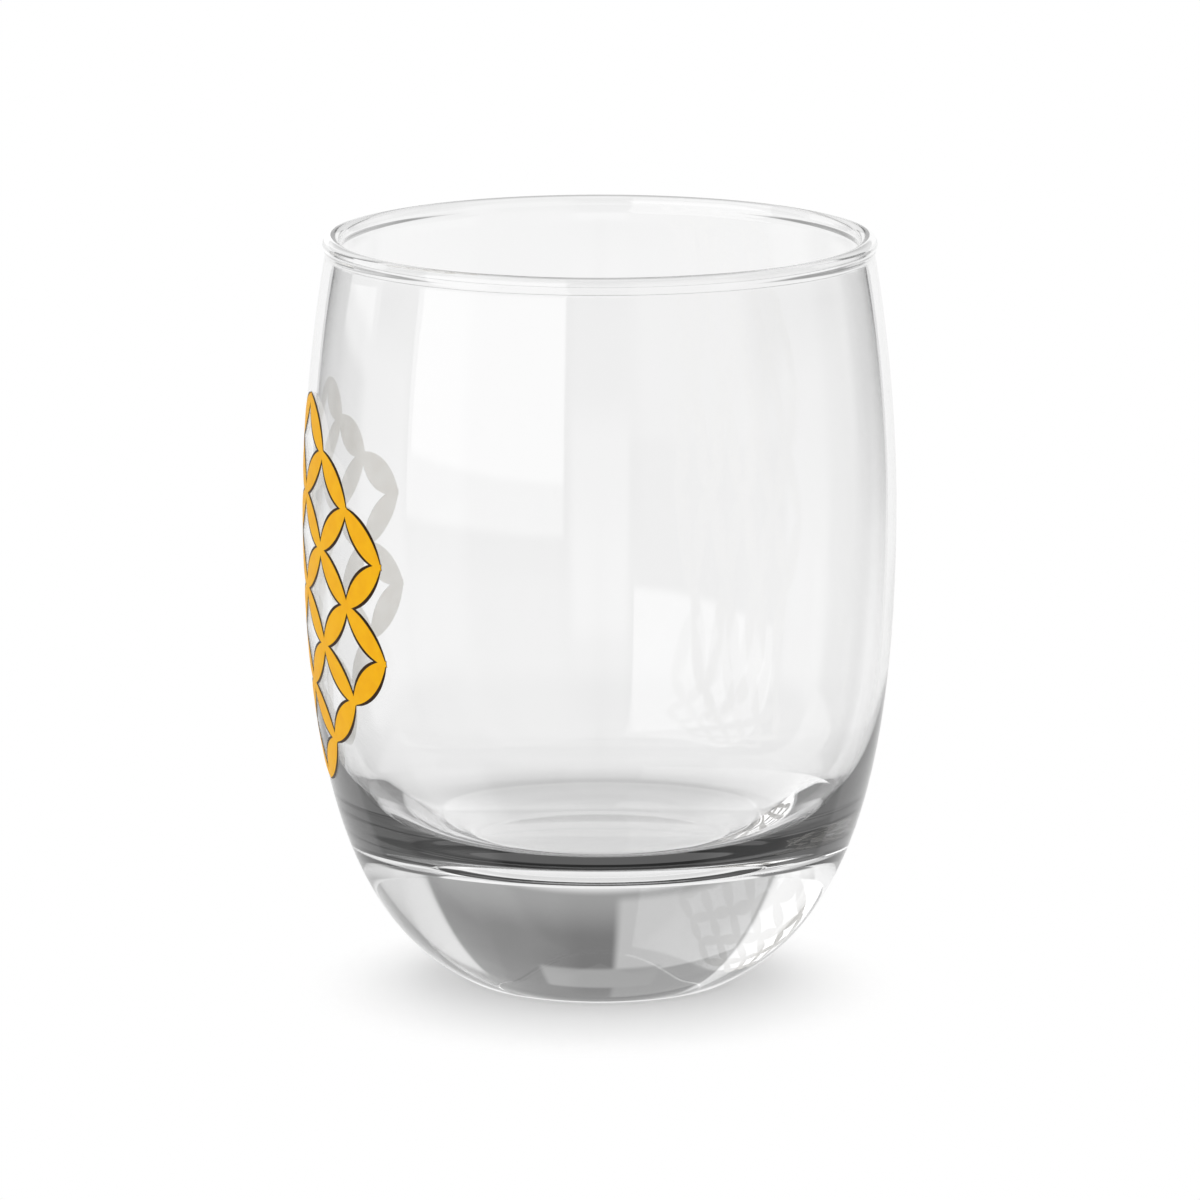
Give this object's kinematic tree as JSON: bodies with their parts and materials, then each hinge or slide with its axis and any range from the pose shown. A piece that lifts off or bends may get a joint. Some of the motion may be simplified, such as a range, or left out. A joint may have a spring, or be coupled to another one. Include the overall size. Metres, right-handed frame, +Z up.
{
  "type": "whisky glass",
  "caption": "Barrel-shaped whisky glass with a heavy clear base, a beaded rim and a gold petal panel printed on one side.",
  "frame": {"origin": "centre of the foot, on the surface that the glass stands on", "axes": "+Z up along the glass's axis, -Y towards the middle of the printed panel, +X to its right as one faces the print"},
  "size_m": [0.0666, 0.0668, 0.0842],
  "materials": {
    "clear_glass": "clear, fire-polished",
    "white_ink": "satin",
    "dark_ink": "satin",
    "gold_ink": "satin"
  },
  "bodies": {
    "root": {"glass_body": "clear_glass", "print_white_base": "white_ink", "print_dark_edge": "dark_ink", "print_gold_petals": "gold_ink"}
  },
  "joints": []
}
